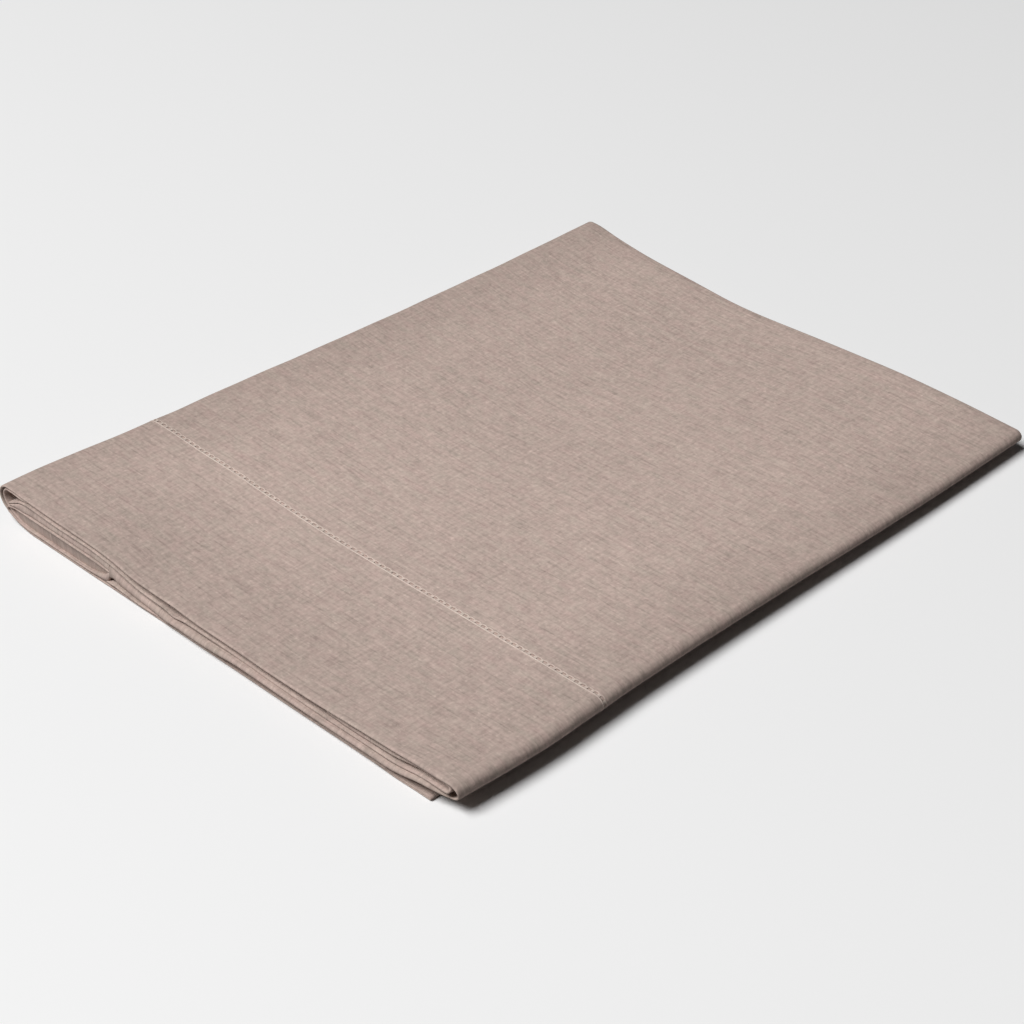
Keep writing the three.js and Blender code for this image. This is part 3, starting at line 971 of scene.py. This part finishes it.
# Painted shade for the fall of light over the cloth, by distance in metres from the middle:
# the colour is darker towards the side folds, and towards the front edge
SIDE_PAINTED_SHADE = {"from": 0.085, "to": 0.146, "least": 0.865}
FRONT_PAINTED_SHADE = {"from": 0.085, "to": 0.178, "least": 0.88}


def woven_material(name, finish):
    """Rough linen of one finish, with painted shade that darkens it towards the side folds and
    the front edge: the lesser of the two shade factors, each an even S from one to its least."""
    material = bpy.data.materials.new(name)
    material.use_nodes = True
    tree = material.node_tree
    shader = tree.nodes["Principled BSDF"]
    place = add_node(tree, "ShaderNodeUVMap")
    place.uv_map = "cloth"
    where = add_node(tree, "ShaderNodeTexCoord")
    parts = add_node(tree, "ShaderNodeSeparateXYZ", _0=where.outputs["Object"])
    side = arithmetic(tree, "ABSOLUTE", parts.outputs["X"], 0.0)
    ahead = arithmetic(tree, "MULTIPLY", parts.outputs["Y"], -1.0)
    # Painted shade: the base colour is darkened towards the side folds and the front edge
    painted_shade = 1.0
    for value, tone in ((side, SIDE_PAINTED_SHADE), (ahead, FRONT_PAINTED_SHADE)):
        found = add_node(tree, "ShaderNodeMapRange", Value=value,
                         _1=tone["from"], _2=tone["to"], _3=1.0, _4=tone["least"])
        found.interpolation_type = "SMOOTHSTEP"
        painted_shade = arithmetic(tree, "MINIMUM", found.outputs[0], painted_shade)
    base = add_node(tree, "ShaderNodeVectorMath", _0=finish["colour"])
    base.operation = "SCALE"
    tree.links.new(painted_shade, base.inputs["Scale"])
    made = tree.nodes.new("ShaderNodeGroup")
    made.node_tree = weave
    made.inputs["Depth"].default_value = finish["depth"]
    tree.links.new(place.outputs[0], made.inputs["Place"])
    tree.links.new(base.outputs[0], made.inputs["Colour"])
    tree.links.new(made.outputs["Colour"], shader.inputs["Base Color"])
    relief = add_node(tree, "ShaderNodeBump", Strength=finish["bump"], Distance=RELIEF,
                      Height=made.outputs["Height"])
    tree.links.new(relief.outputs[0], shader.inputs["Normal"])
    shader.inputs["Roughness"].default_value = ROUGHNESS
    shader.inputs["Specular IOR Level"].default_value = SPECULAR
    return material


cloth.data.materials.append(woven_material("linen", LINEN))
stitching.data.materials.append(woven_material("thread", THREAD))


# Floor, light and camera

FLOOR_SEEN = (0.92, 0.92, 0.92)
FLOOR_BOUNCE = (0.42, 0.42, 0.42)
FLOOR_SIZE, FLOOR_DOWN, FLOOR_ROUGHNESS = 12, 0.0002, 0.9

# The sky's strength at eye level and overhead; the key light's place, size and power
SKY = (0.16, 0.5)
KEY = ((-0.8, -3.0, 4.9), 3.0, 380)


def floor():
    """A plain pale floor, wide enough to fill the picture. It sends less light back onto the
    cloth than it shows, so that the undersides stay as dark as in the photograph."""
    bpy.ops.mesh.primitive_plane_add(size=FLOOR_SIZE, location=(0, 0, -FLOOR_DOWN))
    thing = bpy.context.object
    thing.name = "floor"
    material = bpy.data.materials.new("floor")
    material.use_nodes = True
    tree = material.node_tree
    shader = tree.nodes["Principled BSDF"]
    shader.inputs["Roughness"].default_value = FLOOR_ROUGHNESS
    path = tree.nodes.new("ShaderNodeLightPath")
    mix = tree.nodes.new("ShaderNodeMix")
    mix.data_type = "RGBA"
    mix.inputs["A"].default_value = (*FLOOR_BOUNCE, 1)
    mix.inputs["B"].default_value = (*FLOOR_SEEN, 1)
    tree.links.new(path.outputs["Is Camera Ray"], mix.inputs["Factor"])
    tree.links.new(mix.outputs["Result"], shader.inputs["Base Color"])
    thing.data.materials.append(material)


def soft_light(name, place, size, power):
    """A square soft light that points at the middle of the floor."""
    data = bpy.data.lights.new(name, "AREA")
    data.shape = "SQUARE"
    data.size = size
    data.energy = power
    thing = bpy.data.objects.new(name, data)
    bpy.context.scene.collection.objects.link(thing)
    direction = -np.array(place)
    flat = math.hypot(direction[0], direction[1])
    thing.location = place
    thing.rotation_euler = (math.atan2(flat, -direction[2]), 0,
                            math.atan2(direction[1], direction[0]) - math.pi / 2)


def sky(level, overhead):
    """Pale light from all round. Its strength changes evenly with the height of the direction,
    from that at the level of the eye to that overhead."""
    world = bpy.data.worlds.new("sky")
    world.use_nodes = True
    tree = world.node_tree
    place = tree.nodes.new("ShaderNodeTexCoord")
    parts = tree.nodes.new("ShaderNodeSeparateXYZ")
    strength = tree.nodes.new("ShaderNodeMapRange")
    strength.inputs["To Min"].default_value = level
    strength.inputs["To Max"].default_value = overhead
    tree.links.new(place.outputs["Generated"], parts.inputs[0])
    tree.links.new(parts.outputs["Z"], strength.inputs["Value"])
    tree.links.new(strength.outputs["Result"], tree.nodes["Background"].inputs["Strength"])
    bpy.context.scene.world = world


# The camera: angles in radians, its place on its own axes in widths of the folded cloth, focal
# length and picture in pixels, and the height it is set from in millimetres
WIDTH = 290.0
SENSOR = 36.0
CLIP = (0.05, 50)
CAMERA = {
    "yaw": -0.80097, "pitch": 0.60532, "aside": -0.7822, "rise": 0.03116,
    "distance": 3.9257, "focal": 2515.0, "picture": 1024.0, "height": 12.0,
}


def camera():
    """The camera at the photograph's viewing angle: it looks along yaw and pitch, from a place
    that is given on its own axes, in widths of the folded cloth."""
    yaw, pitch = CAMERA["yaw"], CAMERA["pitch"]
    right = np.array([math.cos(yaw), -math.sin(yaw), 0])
    level = np.array([math.sin(yaw), math.cos(yaw), 0])
    forward = level * math.cos(pitch) - np.array([0, 0, math.sin(pitch)])
    upward = level * math.sin(pitch) + np.array([0, 0, math.cos(pitch)])
    place = -WIDTH * (CAMERA["aside"] * right + CAMERA["rise"] * upward
                      + CAMERA["distance"] * forward)
    place = place + np.array([-MIDDLE_X, -MIDDLE_Y, CAMERA["height"]])
    data = bpy.data.cameras.new("camera")
    data.sensor_width = SENSOR
    data.lens = CAMERA["focal"] / CAMERA["picture"] * SENSOR
    data.clip_start, data.clip_end = CLIP
    thing = bpy.data.objects.new("camera", data)
    bpy.context.scene.collection.objects.link(thing)
    thing.location = place / 1000
    thing.rotation_euler = (math.pi / 2 - pitch, 0, -yaw)
    bpy.context.scene.camera = thing


camera()
floor()
sky(*SKY)
soft_light("key", *KEY)
bpy.context.scene.view_settings.view_transform = "Standard"

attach(cloth, "root")
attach(stitching, "root")
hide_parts("folded_cloth")
